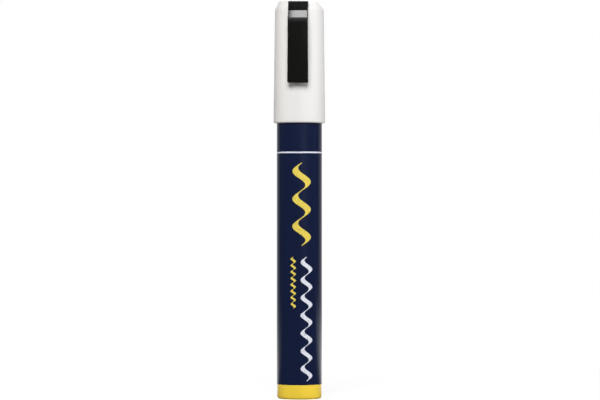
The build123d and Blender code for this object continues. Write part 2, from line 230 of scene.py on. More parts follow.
class ValveSettings(bpy.types.PropertyGroup):
    """Sizes and colours of the valve's pieces."""

    coil: size("Coil radius", 1.95, "Radius of the spring, to the middle of its wire")
    wire: size("Wire diameter", 0.5, "Diameter of the spring's wire")
    turns: plain("Turns", 5.5, "Number of turns of the spring")
    room: size("Spring room", 9.4, "Height between the cage and the plunger's head at rest")
    anchor: size("Spring foot", 90.0, "Height of the cage's top, which the spring stands on")
    press: size("Press", 2.5, "How far the nib pushes the spring together")
    housing: tint("Housing", (0.62, 0.63, 0.62), "Colour of the housing and the cage")
    plunger: tint("Plunger", (0.70, 0.70, 0.67), "Colour of the plunger")
    rubber: tint("Rubber", (0.035, 0.035, 0.036), "Colour of the soft seat")
    steel: tint("Steel", (0.60, 0.59, 0.57), "Colour of the spring and the balls")


class CapSettings(bpy.types.PropertyGroup):
    """Sizes and colours of the cap and its liner."""

    bore: size("Bore radius", 7.50, "Inside radius of the cap")
    mouth: size("Mouth radius", 9.12, "Outside radius at the mouth")
    shoulder: size("Shoulder radius", 8.59, "Outside radius below the bevel")
    bevel_height: size("Bevel height", 2.9, "Height of the bevelled crown")
    bevel_width: size("Bevel width", 1.5, "How far the bevel goes in")
    crown_round: size("Crown round", 0.9, "Round between the top and the bevel")
    shoulder_round: size("Shoulder round", 3.0, "Round between the bevel and the side")
    lip_round: size("Lip round", 0.7, "Round of the mouth's outer edge")
    gate: size("Gate radius", 1.1, "Radius of the moulding mark in the middle of the crown")
    gate_depth: size("Gate depth", 0.15, "Depth of that mark")
    ceiling: size("Ceiling height", 135.4, "Height of the ceiling inside")
    rib_low: size("Rib foot", 110.5, "Height where the ribs inside begin")
    rib_in: size("Rib radius", 6.93, "Radius that the ribs come in to")
    rib_width: size("Rib width", 0.9, "Width of a rib")
    notch_width: size("Notch width", 7.2, "Width of the notch that the clip's root sits in")
    notch_back: size("Notch back", 5.35, "How far from the axis the notch begins")
    notch_floor: size("Notch floor", 137.4, "Height of the notch's floor")
    socket_radius: size("Bead socket", 0.95, "Radius of the groove that the clip's bead turns in")
    socket_width: size("Socket width", 7.1, "Width of that groove, just short of the notch's sides")
    white: tint("White", (0.83, 0.815, 0.80), "Colour of the cap")
    liner: tint("Liner", (0.70, 0.71, 0.70), "Colour of the inner cap")
    lip: size("Liner lip", 6.03, "Radius of the inner cap's sealing lip")
    lip_height: size("Lip height", 1.2, "Height of that lip")
    liner_in: size("Liner radius", 6.2, "Inside radius of the inner cap")
    roof: size("Liner roof", 1.0, "Thickness of the inner cap's roof")
    roof_round: size("Roof round", 0.7, "Round inside, under the roof")
    roof_edge: size("Roof edge", 0.2, "Round outside, round the roof")
    liner_rim: size("Liner rim", 0.1, "Round of the two edges at the inner cap's mouth")


class ClipSettings(bpy.types.PropertyGroup):
    """Sizes and colour of the pocket clip."""

    back: size("Back", 5.75, "How far from the axis the root begins")
    under: size("Root underside", 137.55, "Height of the root's underside, over the notch's floor")
    front: size("Root front", 9.8, "How far from the axis the root's front is")
    crease: size("Crease height", 136.3, "Height where the sloping face begins")
    bend: size("Bend height", 133.05, "Height where the sloping face ends")
    heel: size("Heel height", 135.1, "Height down to which the root follows the cap")
    inside: size("Tongue inside", 10.6, "How far from the axis the tongue's inner face is")
    gap: size("Gap", 0.3, "Gap between the clip and the cap")
    root_width: size("Root width", 6.95, "Width at the top")
    tip_width: size("Tip width", 7.3, "Width at the lower end")
    crease_round: size("Crease round", 0.3, "Round at the top of the sloping face")
    bend_round: size("Bend round", 3.0, "Round at the bottom of the sloping face")
    corner_round: size("Corner round", 0.5, "Round of the tongue's lower corners")
    edge_round: size("Edge round", 0.28, "Round of all the clip's edges")
    bead_out: size("Bead place", 6.6, "How far from the axis the hinge bead is")
    bead_height: size("Bead height", 136.9, "Height of the hinge bead")
    bead_radius: size("Bead radius", 0.9, "Radius of the hinge bead")
    bead_neck: size("Bead neck", 1.3, "Thickness of the web that carries the bead")
    nub_height: size("Nub height", 113.2, "Height of the nub that grips a pocket")
    nub_radius: size("Nub radius", 1.394, "Radius of that nub")
    nub_width: size("Nub width", 4.0, "Width of that nub")
    black: tint("Black", (0.0075, 0.0072, 0.0068), "Colour of the clip")


class StageSettings(bpy.types.PropertyGroup):
    """Camera, lamps and floor."""

    azimuth: bpy.props.FloatProperty(
        name="Azimuth",
        description="How far the camera stands to the right of the clip's front",
        default=radians(2.8),
        subtype="ANGLE",
    )
    distance: size("Camera distance", 1050.0, "Distance from the camera to the marker's axis")
    height: size("Camera height", 69.95, "Height of the camera, which looks level")
    view_width: size("View width", 211.7, "Width of the picture at the marker")
    aside: size("Aside", 0.22, "How far the camera stands to the right of the marker's axis")
    behind: plain("Light behind", 0.5, "Strength of the white surroundings behind the marker")
    near: plain("Floor light", 1.0, "What the floor close behind the marker adds to that, in reflections")
    near_left: plain("Left share", 0.25, "Share of the floor light that is left on the marker's left")
    ahead: plain("Light ahead", 0.055, "Strength of the dim surroundings in front of the marker")
    above: plain("Light above", 0.85, "What the surroundings high up in front add to that, in reflections")
    glow: plain("Glow", 0.22, "What the surroundings on the right in front add to it, in reflections")
    key: plain("Key lamp", 14.1, "Power of the high lamp in front, in watts")
    top: plain("Top lamp", 4.7, "Power of the lamp overhead, which shows in reflections alone, in watts")
    right: plain("Right lamp", 4.7, "Power of the low lamp on the right, in watts")
    left: plain("Left lamp", 2.5, "Power of the low lamp on the left, in watts")
    rear: plain("Rear lamp", 6.8, "Power of the lamp behind, in watts")
    warmth: tint("Left lamp colour", (1.0, 0.955, 0.89), "Colour of the left lamp, which is a little warm")
    shadow: plain("Floor shadow", 0.2, "Share of the floor's picture near the marker that takes shade")
    shadow_reach: size("Shadow reach", 250.0, "Distance from the marker at which the floor is plain white")


def opaque(rgb, share):
    """Gives a colour socket's four numbers, with the colour darkened or lightened to a share."""
    return (rgb[0] * share, rgb[1] * share, rgb[2] * share, 1.0)


class Field:
    """A number that changes over a surface. Arithmetic on it adds Math nodes to its tree."""

    def __init__(self, nodes, socket):
        self.nodes = nodes
        self.socket = socket

    def __add__(self, other):
        return self.nodes.math("ADD", self, other)

    def __sub__(self, other):
        return self.nodes.math("SUBTRACT", self, other)

    def __rsub__(self, other):
        return self.nodes.math("SUBTRACT", other, self)

    def __mul__(self, other):
        return self.nodes.math("MULTIPLY", self, other)

    __radd__ = __add__
    __rmul__ = __mul__


class Nodes:
    """The node tree of a material or world, with short ways to add the nodes that the finishes use."""

    def __init__(self, holder):
        holder.use_nodes = True
        self.tree = holder.node_tree
        self.tree.nodes.clear()

    def node(self, kind, sockets=None, **settings):
        """Adds a shader node with values or links for its sockets, and its settings."""
        made = self.tree.nodes.new("ShaderNode" + kind)
        for key, value in settings.items():
            setattr(made, key, value)
        for key, value in (sockets or {}).items():
            value = value.socket if isinstance(value, Field) else value
            if isinstance(value, bpy.types.NodeSocket):
                self.tree.links.new(value, made.inputs[key])
            else:
                made.inputs[key].default_value = value
        return made

    def math(self, operation, *values):
        """Adds a Math node on numbers and fields."""
        made = self.node("Math", dict(enumerate(values)), operation=operation)
        return Field(self, made.outputs[0])

    def vector(self, operation, value):
        """Adds a Vector Math node on one vector."""
        return self.node("VectorMath", {0: value}, operation=operation)

    def rays(self):
        """Gives two fields: 1 on what the camera sees straight, and 1 on what is seen as a reflection."""
        path = self.node("LightPath")
        return Field(self, path.outputs["Is Camera Ray"]), Field(self, path.outputs["Is Glossy Ray"])

    def split(self, vector):
        """Gives the three parts of a vector."""
        made = self.node("SeparateXYZ", {0: vector})
        return [Field(self, socket) for socket in made.outputs]

    def rise(self, value, low, high):
        """Goes smoothly from 0 at low to 1 at high."""
        sockets = {"Value": value, "From Min": low, "From Max": high}
        made = self.node("MapRange", sockets, interpolation_type="SMOOTHSTEP")
        return Field(self, made.outputs[0])

    def between(self, value, low, high, soft):
        """Is 1 between two values and 0 outside them, with soft edges."""
        return self.rise(value, low - soft, low + soft) * (1 - self.rise(value, high - soft, high + soft))

    def mix(self, share, first, second):
        """Goes from one colour to another."""
        sockets = {MIX_SHARE: share, MIX_FIRST: first, MIX_SECOND: second}
        return self.node("Mix", sockets, data_type="RGBA").outputs[MIX_RESULT]

    def tone(self, share, rgb, dark, light):
        """Goes from a dark to a light shade of one colour."""
        return self.mix(share, opaque(rgb, dark), opaque(rgb, light))


class Finish(Nodes):
    """A material in the making, on its piece's own coordinates. It ends in one Principled shader."""

    def __init__(self, name):
        self.material = bpy.data.materials.new(name)
        super().__init__(self.material)
        self.place = self.node("TexCoord").outputs["Object"]
        self.x, self.y, self.z = self.split(self.place)

    def noise(self, patch, stretch=(1, 1, 1), detail=3.0):
        """Gives cloudy noise from 0 to 1 with patches of a size in metres, drawn out by stretch."""
        scale = [1 / (patch * share) for share in stretch]
        mapped = self.node("Mapping", {"Vector": self.place, "Scale": scale})
        made = self.node("TexNoise", {"Vector": mapped.outputs[0], "Scale": 1.0, "Detail": detail})
        return Field(self, made.outputs[0])

    def close(self, colour, roughness, height, depth, **sockets):
        """Ends the material: colour, roughness, a bump with its depth, and constant sockets."""
        bump = self.node("Bump", {"Strength": 1.0, "Distance": depth, "Height": height})
        inputs = {"Base Color": colour, "Roughness": roughness, "Normal": bump.outputs[0], **sockets}
        shader = self.node("BsdfPrincipled", inputs)
        self.node("OutputMaterial", {"Surface": shader.outputs[0]})
        return self.material


def chisel_wave(finish, arc, wave):
    """Masks a printed wave along the barrel, thick and thin as a slanted chisel nib draws it."""
    half_across = wave.nib / 2 * cos(NIB_SLANT) + HAIRLINE / 2
    half_along = wave.nib / 2 * sin(NIB_SLANT)
    length = wave.high - wave.low
    turns = 2 * pi * round(length / (WAVE_SWINGS * wave.swing)) / length
    left = finish.math("SINE", (finish.z + (half_along - wave.low)) * turns) * wave.swing - half_across
    right = finish.math("SINE", (finish.z - (half_along + wave.low)) * turns) * wave.swing + half_across
    across = arc - wave.centre + (finish.noise(patch=0.35 * MM) - 0.5) * RAGGED_EDGE
    past_left = finish.rise(across - left, -PRINT_SOFT, PRINT_SOFT)
    before_right = finish.rise(right - across, -PRINT_SOFT, PRINT_SOFT)
    ends = finish.between(finish.z + across * tan(NIB_SLANT), wave.low, wave.high, soft=0.06 * MM)
    dry = finish.rise(finish.noise(patch=0.16 * MM, stretch=(1, 1, 3)), low=0.30, high=0.40)
    return past_left * before_right * ends * dry


def barrel_finish(settings, radius):
    """Glossy navy plastic with a printed ring and three chisel waves that show the line widths."""
    finish = Finish("navy_print")
    arc = finish.math("ARCTAN2", finish.x, finish.y * -1) * radius
    half = settings.ring_width / 2
    ring = finish.between(finish.z, settings.ring_height - half, settings.ring_height + half, PRINT_SOFT)
    broad, middle, fine = [chisel_wave(finish, arc, wave) for wave in WAVES]
    clouds = finish.noise(patch=6 * MM, stretch=(1, 1, 4))
    scuffs = finish.noise(patch=0.3 * MM, stretch=(1, 1, 30), detail=5.0)
    grain = finish.noise(patch=0.12 * MM)
    seam = finish.between(finish.x, -SEAM, SEAM, PRINT_SOFT) * finish.rise(finish.y, 0, MM)
    navy = finish.tone(clouds, settings.navy, dark=0.92, light=1.10)
    seamed = finish.mix(seam * 0.5, navy, opaque(settings.navy, 0.4))
    yellow = finish.tone(clouds, settings.yellow, dark=0.95, light=1.03)
    white = finish.tone(clouds, settings.white, dark=0.97, light=1.03)
    with_yellow = finish.mix(broad + fine, seamed, yellow)
    colour = finish.mix(middle + ring, with_yellow, white)
    ink = broad + middle + fine + ring
    roughness = 0.15 + 0.05 * clouds + 0.06 * finish.rise(scuffs, low=0.60, high=0.72) + 0.16 * ink
    height = grain * 0.02 + clouds * 0.25 + ink * 0.6 - seam * 0.8
    return finish.close(colour, roughness, height, depth=0.012 * MM, IOR=1.5)


def moulded_finish(name, rgb, roughness, patch, spread=0.06, depth=0.012 * MM):
    """Moulded plastic: a fine grain, slow flow marks and faint rubbing that dulls the gloss."""
    finish = Finish(name)
    flow = finish.noise(patch, stretch=(1, 1, 3), detail=2.0)
    rubbing = finish.noise(patch / 12, stretch=(1, 1, 8), detail=5.0)
    grain = finish.noise(patch=0.10 * MM)
    colour = finish.tone(flow, rgb, dark=1 - spread, light=1 + spread / 3)
    gloss = roughness - 0.04 + 0.06 * flow + 0.12 * finish.rise(rubbing, low=0.58, high=0.75)
    height = grain * 0.35 + flow * 0.65
    return finish.close(colour, gloss, height, depth, IOR=1.49)


def steel_finish(name, rgb, roughness):
    """Bright steel with fine drawing marks."""
    finish = Finish(name)
    marks = finish.noise(patch=0.15 * MM, stretch=(1, 1, 6), detail=4.0)
    clouds = finish.noise(patch=1.5 * MM)
    colour = finish.tone(clouds, rgb, dark=0.9, light=1.08)
    return finish.close(colour, roughness + 0.12 * marks, marks, depth=0.004 * MM, Metallic=1.0)


def rubber_finish(rgb):
    """Dull soft rubber with a powdery bloom."""
    finish = Finish("seat_rubber")
    bloom = finish.noise(patch=1.2 * MM, detail=4.0)
    grain = finish.noise(patch=0.08 * MM)
    colour = finish.tone(bloom, rgb, dark=0.8, light=1.6)
    return finish.close(colour, 0.62 + 0.2 * bloom, grain, depth=0.01 * MM, IOR=1.52)


def nib_finish(settings):
    """Pressed fibre with fine lengthwise strands, soaked with ink from its tip down."""
    finish = Finish("pressed_fibre")
    strands = finish.noise(patch=0.09 * MM, stretch=(1, 1, 25), detail=4.0)
    blots = finish.noise(patch=1.6 * MM, detail=4.0)
    height = finish.z + (blots - 0.5) * STAIN_RAGGED
    soaked = finish.rise(height, settings.tip - STAIN_FROM, settings.tip - STAIN_FULL)
    ink = finish.tone(strands, settings.ink, dark=0.72, light=1.1)
    fibre = finish.tone(strands, settings.fibre, dark=0.75, light=1.1)
    colour = finish.mix(soaked, fibre, ink)
    roughness = 0.86 - 0.3 * soaked * blots
    return finish.close(colour, roughness, strands + blots * 0.4, depth=0.05 * MM)


def deselect():
    """Goes to object mode with nothing selected."""
    if bpy.context.mode != "OBJECT":
        bpy.ops.object.mode_set(mode="OBJECT")
    bpy.ops.object.select_all(action="DESELECT")


def edit_all():
    """Goes to edit mode with the whole piece selected."""
    bpy.ops.object.mode_set(mode="EDIT")
    bpy.ops.mesh.select_all(action="SELECT")


def name_piece(name):
    """Names the object that was just added, and its mesh."""
    piece = bpy.context.object
    piece.name = name
    piece.data.name = name
    return piece


def pick(piece, kind, test):
    """Selects the corners or edges of the piece in edit mode that a test accepts, and no others."""
    bpy.ops.mesh.select_mode(type=kind)
    bpy.ops.mesh.select_all(action="DESELECT")
    cage = bmesh.from_edit_mesh(piece.data)
    elements = {"VERT": cage.verts, "EDGE": cage.edges}[kind]
    found = [element for element in elements if test(element)]
    if not found:
        raise RuntimeError(f"nothing to select on {piece.name}")
    for element in found:
        element.select_set(True)
    bmesh.update_edit_mesh(piece.data)


def draw_outline(name, corners, closed):
    """Draws an outline in edit mode. A corner is a point and the radius that it is rounded to."""
    deselect()
    bpy.ops.mesh.primitive_plane_add(size=MM)
    piece = name_piece(name)
    points = [Vector(point) for point, _ in corners]
    edit_all()
    bpy.ops.mesh.merge(type="CENTER")
    bpy.ops.transform.translate(value=points[0])
    for here, there in zip(points, points[1:]):
        bpy.ops.mesh.extrude_vertices_move(TRANSFORM_OT_translate={"value": there - here})
    if closed:
        ends = (points[0], points[-1])
        pick(piece, "VERT", lambda v: min((v.co - end).length for end in ends) < MERGE_DISTANCE)
        bpy.ops.mesh.edge_face_add()
    for index, (_, radius) in enumerate(corners):
        if radius:
            before = points[index] - points[index - 1]
            after = points[(index + 1) % len(points)] - points[index]
            reach = radius * tan(before.angle(after) / 2)
            pick(piece, "VERT", lambda v: (v.co - points[index]).length < MERGE_DISTANCE)
            bpy.ops.mesh.bevel(offset=reach, segments=ROUND_STEPS, affect="VERTICES")
    return piece


def settle(piece):
    """Merges doubled corners, turns the faces outwards and shades the piece smooth but for its edges."""
    edit_all()
    bpy.ops.mesh.remove_doubles(threshold=MERGE_DISTANCE)
    bpy.ops.mesh.normals_make_consistent(inside=False)
    bpy.ops.object.mode_set(mode="OBJECT")
    bpy.ops.object.shade_smooth_by_angle(angle=SMOOTH_ANGLE)
    return piece


def turn(name, corners):
    """Turns a half profile of (radius, height, round) corners about the marker's axis."""
    on_axis = corners[0][0] == 0 and corners[-1][0] == 0
    placed = [((radius, 0, height), rounding) for radius, height, rounding in corners]
    piece = draw_outline(name, placed, closed=not on_axis)
    edit_all()
    bpy.ops.mesh.spin(steps=SPIN_STEPS, angle=2 * pi, center=(0, 0, 0), axis=(0, 0, 1))
    return settle(piece)


def ridge(radius, height, rise):
    """Gives the four corners of a ridge with sloping flanks, from its lower to its upper foot."""
    return [
        (radius, height - 2 * rise, 0),
        (radius + rise, height - rise / 2, 0),
        (radius + rise, height + rise / 2, 0),
        (radius, height + 2 * rise, 0),
    ]


def add_rod(radius, length, middle, sides, lying=False):
    """Adds a round rod that stands upright or lies across the marker's front."""
    deselect()
    turned = (0, pi / 2 if lying else 0, 0)
    bpy.ops.mesh.primitive_cylinder_add(
        vertices=sides, radius=radius, depth=length, location=middle, rotation=turned
    )
    return bpy.context.object


def add_bar(radius, width, out, height):
    """Adds a round bar across the marker's front, as a tool for a cut or a join."""
    return add_rod(radius, width, (0, -out, height), BAR_SIDES, lying=True)


def add_block(low, high):
    """Adds a block between two corners, as a tool for a cut or a join."""
    deselect()
    middle = (Vector(low) + Vector(high)) / 2
    bpy.ops.mesh.primitive_cube_add(size=1, location=middle, scale=Vector(high) - Vector(low))
    return bpy.context.object


def modify(piece, kind, **settings):
    """Adds a modifier to a piece, sets it and applies it."""
    deselect()
    bpy.context.view_layer.objects.active = piece
    piece.select_set(True)
    bpy.ops.object.modifier_add(type=kind)
    modifier = piece.modifiers[-1]
    for key, value in settings.items():
        setattr(modifier, key, value)
    bpy.ops.object.modifier_apply(modifier=modifier.name)


def combine(piece, tool, operation):
    """Cuts a tool out of a piece or joins it on, and removes the tool."""
    modify(piece, "BOOLEAN", operation=operation, solver="EXACT", object=tool)
    bpy.data.objects.remove(tool)


def round_edges(piece, radius, angle):
    """Rounds every edge that is sharper than an angle."""
    modify(piece, "BEVEL", width=radius, segments=EDGE_STEPS, limit_method="ANGLE", angle_limit=angle)


def trim(point, normal):
    """Cuts off what lies beyond a plane from the active piece, in edit mode, and closes the cut."""
    edit_all()
    bpy.ops.mesh.bisect(
        plane_co=point,
        plane_no=Vector(normal).normalized(),
        use_fill=True,
        clear_outer=True,
        threshold=MERGE_DISTANCE,
    )


def hand_over(piece, node, body, material):
    """Gives a finished piece its material and its place among the bodies, and hides the CAD node it stands
    for.
    """
    piece.data.materials.append(material)
    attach(piece, body)
    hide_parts(node)


def dress(material, *nodes):
    """Puts a material on CAD nodes whose shapes stay."""
    for node in nodes:
        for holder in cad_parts[node].material_slots:
            holder.material = material


class MARKER_OT_stage(bpy.types.Operator):
    """Sets up the floor, the white surroundings, the lamps and the camera"""

    bl_idname = "marker.stage"
    bl_label = "Stage"

    def execute(self, context):
        settings = context.scene.marker_stage
        self.add_floor(settings)
        self.add_surroundings(context.scene, settings)
        lamps = {name: self.add_lamp(name, settings) for name in LAMPS}
        lamps["left"].data.color = settings.warmth
        self.add_camera(context.scene, settings)
        context.scene.view_settings.view_transform = "Standard"
        return {"FINISHED"}

    def add_floor(self, settings):
        """Lays a pale floor that looks white and keeps a soft shadow."""
        deselect()
        bpy.ops.mesh.primitive_plane_add(size=FLOOR_WIDTH)
        floor = name_piece("floor")
        material = bpy.data.materials.new("pale_floor")
        nodes = Nodes(material)
        seen, mirrored = nodes.rays()
        place = nodes.node("TexCoord").outputs["Object"]
        away = nodes.vector("LENGTH", place).outputs["Value"]
        across, back, _ = nodes.split(place)
        _, backwards, _ = nodes.split(nodes.vector("NORMALIZE", place).outputs["Vector"])
        reach = settings.shadow_reach
        shade = (1 - nodes.rise(away, 0, reach)) * settings.shadow
        behind = nodes.rise(backwards, BEHIND_FROM, BEHIND_FULL) * (settings.behind - settings.ahead)
        side = settings.near_left + (1 - settings.near_left) * nodes.rise(across, -reach, reach)
        fading = 1 - nodes.rise(away, NEAR_FADE * reach, NEAR_END * reach)
        near = nodes.rise(back, 0, NEAR_FULL * reach) * fading * side * settings.near
        shine = settings.ahead + behind + near
        # Painted pool of light: the floor is paler round the foot in bounced light alone, so that it lights
        # the foot's lower edge.
        foot = 1 - nodes.rise(away, FOOT_FADE, FOOT_END)
        grey = seen + (1 - seen) * (FLOOR_GREY + FOOT_BOUNCE_LIGHT * foot)
        matt = nodes.node("BsdfDiffuse", {"Color": grey})
        glow = nodes.node("Emission", {"Strength": seen + mirrored * shine})
        share = seen * (1 - shade) + mirrored
        both = nodes.node("MixShader", {0: share, 1: matt.outputs[0], 2: glow.outputs[0]})
        nodes.node("OutputMaterial", {"Surface": both.outputs[0]})
        floor.data.materials.append(material)

    def add_surroundings(self, scene, settings):
        """Makes the world white to the camera, and light behind and dim in front to the marker."""
        world = bpy.data.worlds.new("studio")
        scene.world = world
        nodes = Nodes(world)
        seen, mirrored = nodes.rays()
        across, back, up = nodes.split(nodes.node("TexCoord").outputs["Generated"])
        above = nodes.rise(up, ABOVE_FROM, ABOVE_FULL) * settings.above
        glow = nodes.between(across, GLOW_FROM, GLOW_TO, GLOW_SOFT) * settings.glow
        front = settings.ahead + (above + glow) * mirrored
        shine = front + nodes.rise(back, BEHIND_FROM, BEHIND_FULL) * (settings.behind - front)
        strength = seen + (1 - seen) * shine
        background = nodes.node("Background", {"Color": (1, 1, 1, 1), "Strength": strength})
        nodes.node("OutputWorld", {"Surface": background.outputs[0]})

    def add_lamp(self, name, settings):
        """Hangs a square soft lamp that faces the middle of the marker."""
        lamp = LAMPS[name]
        bpy.ops.object.light_add(type="AREA", location=lamp.place)
        made = name_piece(name + "_lamp")
        made.data.size = lamp.width
        made.data.energy = getattr(settings, name)
        made.visible_diffuse = lamp.lights
        made.visible_glossy = lamp.mirrors
        towards = Vector((0, 0, settings.height)) - lamp.place
        made.rotation_euler = towards.to_track_quat("-Z", "Y").to_euler()
        return made

    def add_camera(self, scene, settings):
        """Stands the camera level with the middle of the marker, a little to the right of its front."""
        turned = settings.azimuth
        right = Vector((cos(turned), sin(turned), 0))
        away = Vector((sin(turned), -cos(turned), 0))
        place = away * settings.distance + right * settings.aside
        place.z = settings.height
        bpy.ops.object.camera_add(location=place, rotation=(pi / 2, 0, turned))
        camera = name_piece("camera")
        camera.data.sensor_fit = "HORIZONTAL"
        camera.data.lens = camera.data.sensor_width * settings.distance / settings.view_width
        camera.data.clip_end = VIEW_DEPTH
        scene.camera = camera


class MARKER_OT_barrel(bpy.types.Operator):
    """Turns the printed barrel with its stepped neck"""

    bl_idname = "marker.barrel"
    bl_label = "Barrel"

    def execute(self, context):
        settings = context.scene.marker_barrel
        radius = barrel_high.x
        shoulder = cap_low.z
        groove = ridge(settings.bore, settings.groove_height, settings.groove_depth)
        corners = [
            (settings.bore, barrel_low.z, 0),
            (radius, barrel_low.z, settings.end_round),
            (radius, shoulder, settings.end_round),
            (settings.neck, shoulder, 0),
            (settings.neck, barrel_high.z, 0),
            (settings.bore, barrel_high.z, 0),
        ]
        piece = turn("barrel_tube", corners + groove[::-1])
        hand_over(piece, "barrel", "barrel", barrel_finish(settings, radius))
        return {"FINISHED"}


class MARKER_OT_end_plug(bpy.types.Operator):
    """Turns the yellow end plug with its hollow spigot"""

    bl_idname = "marker.end_plug"
    bl_label = "End plug"

    def execute(self, context):
        settings = context.scene.marker_plug
        radius = plug_high.x
        lower = settings.flange + (plug_high.z - settings.flange) / 3
        upper = settings.flange + (plug_high.z - settings.flange) * 2 / 3
        corners = [
            (0, settings.dimple_depth, 0),
            (settings.dimple - settings.dimple_depth, settings.dimple_depth, settings.dimple_depth / 2),
            (settings.dimple, 0, settings.dimple_depth / 2),
            (radius, 0, settings.edge_round),
            (radius, settings.flange, settings.rim_round),
            (settings.spigot, settings.flange, 0),
            *ridge(settings.spigot, lower, settings.ridge),
            *ridge(settings.spigot, upper, settings.ridge),
            (settings.spigot, plug_high.z, 0),
            (settings.cup, plug_high.z, 0),
            (settings.cup, settings.floor, settings.edge_round),
            (0, settings.floor, 0),
        ]
        piece = turn("end_plug_foot", corners)
        material = moulded_finish("yellow_plastic", settings.yellow, roughness=0.30, patch=5 * MM)
        hand_over(piece, "end_plug", "barrel", material)
        return {"FINISHED"}


class MARKER_OT_nose(bpy.types.Operator):
    """Turns the nose section and cuts its air grooves"""

    bl_idname = "marker.nose"
    bl_label = "Nose section"

    def execute(self, context):
        settings = context.scene.marker_nose
        foot = barrel_high.z
        flange_top = foot + settings.flange
        land_top = flange_top + settings.land_height
        guide_low = nose_high.z - settings.guide_length
        snap = context.scene.marker_barrel.groove_height
        corners = [
            (settings.socket, nose_low.z, 0),
            (settings.spigot, nose_low.z, 0),
            *ridge(settings.spigot, snap, settings.ridge),
            (settings.spigot, foot, 0),
            (nose_high.x, foot, 0),
            (nose_high.x, flange_top, settings.rim_round),
            (settings.land, flange_top, 0),
            (settings.land, land_top, settings.step / 2),
            (settings.land - settings.step, land_top, 0),
            (settings.tip, nose_high.z, settings.tip_round),
            (settings.guide, nose_high.z, 0),
            (settings.guide, guide_low, 0),
            (settings.feed, guide_low - (settings.feed - settings.guide), 0),
            (settings.feed, foot - settings.ledge, 0),
            (settings.socket, foot - settings.ledge, 0),
        ]
        piece = turn("nose_front", corners)
        length = settings.guide_length + 2 * settings.groove
        middle = guide_low + length / 2 - settings.groove
        for index in range(GROOVE_COUNT):
            angle = (index + 0.5) * 2 * pi / GROOVE_COUNT
            place = (settings.guide * cos(angle), settings.guide * sin(angle), middle)
            combine(piece, add_rod(settings.groove, length, place, GROOVE_SIDES), "DIFFERENCE")
        settle(piece)
        material = moulded_finish("nose_plastic", settings.white, roughness=0.36, patch=5 * MM)
        hand_over(piece, "nose_section", "barrel", material)
        return {"FINISHED"}


class MARKER_OT_nib(bpy.types.Operator):
    """Cuts the chisel nib from a round rod"""

    bl_idname = "marker.nib"
    bl_label = "Nib"

    def execute(self, context):
        settings = context.scene.marker_nib
        radius = nib_high.x
        middle = (settings.tip + nib_low.z) / 2
        add_rod(radius, settings.tip - nib_low.z, (0, 0, middle), SPIN_STEPS)
        piece = name_piece("nib_rod")
        bpy.ops.object.transform_apply()
        lean = radius - settings.edge / 2
        for side in (-1, 1):
            trim((0, side * radius, settings.tip - settings.wedge), (0, side * settings.wedge, lean))
        trim((-radius, 0, settings.tip), (settings.slant, 0, 2 * radius))
        round_edges(piece, settings.edge_round, angle=radians(14))
        settle(piece)
        hand_over(piece, "nib", "nib", nib_finish(settings))
        return {"FINISHED"}


class MARKER_OT_valve(bpy.types.Operator):
    """Winds the valve's spring and finishes the valve's other pieces"""

    bl_idname = "marker.valve"
    bl_label = "Valve"

    def execute(self, context):
        settings = context.scene.marker_valve
        piece = self.wind_spring(settings)
        wire = steel_finish("spring_wire", settings.steel, roughness=0.22)
        hand_over(piece, "valve_spring", "barrel", wire)
        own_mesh(piece)
        plastic = moulded_finish("valve_plastic", settings.housing, roughness=0.4, patch=3 * MM)
        dress(plastic, "valve_housing", "valve_cage")
        plastic = moulded_finish("plunger_plastic", settings.plunger, roughness=0.35, patch=3 * MM)
        dress(plastic, "valve_plunger")
        dress(rubber_finish(settings.rubber), "valve_seat")
        return {"FINISHED"}

    def wind_spring(self, settings):
        """Winds a round wire section into a spring and closes its ends."""
        deselect()
        half = settings.wire / 2
        low, high = spring_low.z + half, spring_high.z - half
        bpy.ops.mesh.primitive_circle_add(
            vertices=WIRE_SIDES, radius=half, location=(settings.coil, 0, low), rotation=(pi / 2, 0, 0)
        )
        piece = name_piece("spring_coil")
        bpy.ops.object.transform_apply()
        steps = round(COIL_STEPS * settings.turns)
        angle = 2 * pi * settings.turns
        modify(piece, "SCREW", angle=angle, screw_offset=high - low, steps=steps, render_steps=steps)
        edit_all()
        bpy.ops.mesh.fill_holes(sides=0)
        return settle(piece)


class MARKER_OT_balls(bpy.types.Operator):
    """Finishes the two mixing balls"""

    bl_idname = "marker.balls"
    bl_label = "Mixing balls"

    def execute(self, context):
        steel = steel_finish("ball_steel", context.scene.marker_valve.steel, roughness=0.12)
        dress(steel, "mixing_ball_left", "mixing_ball_right")
        return {"FINISHED"}


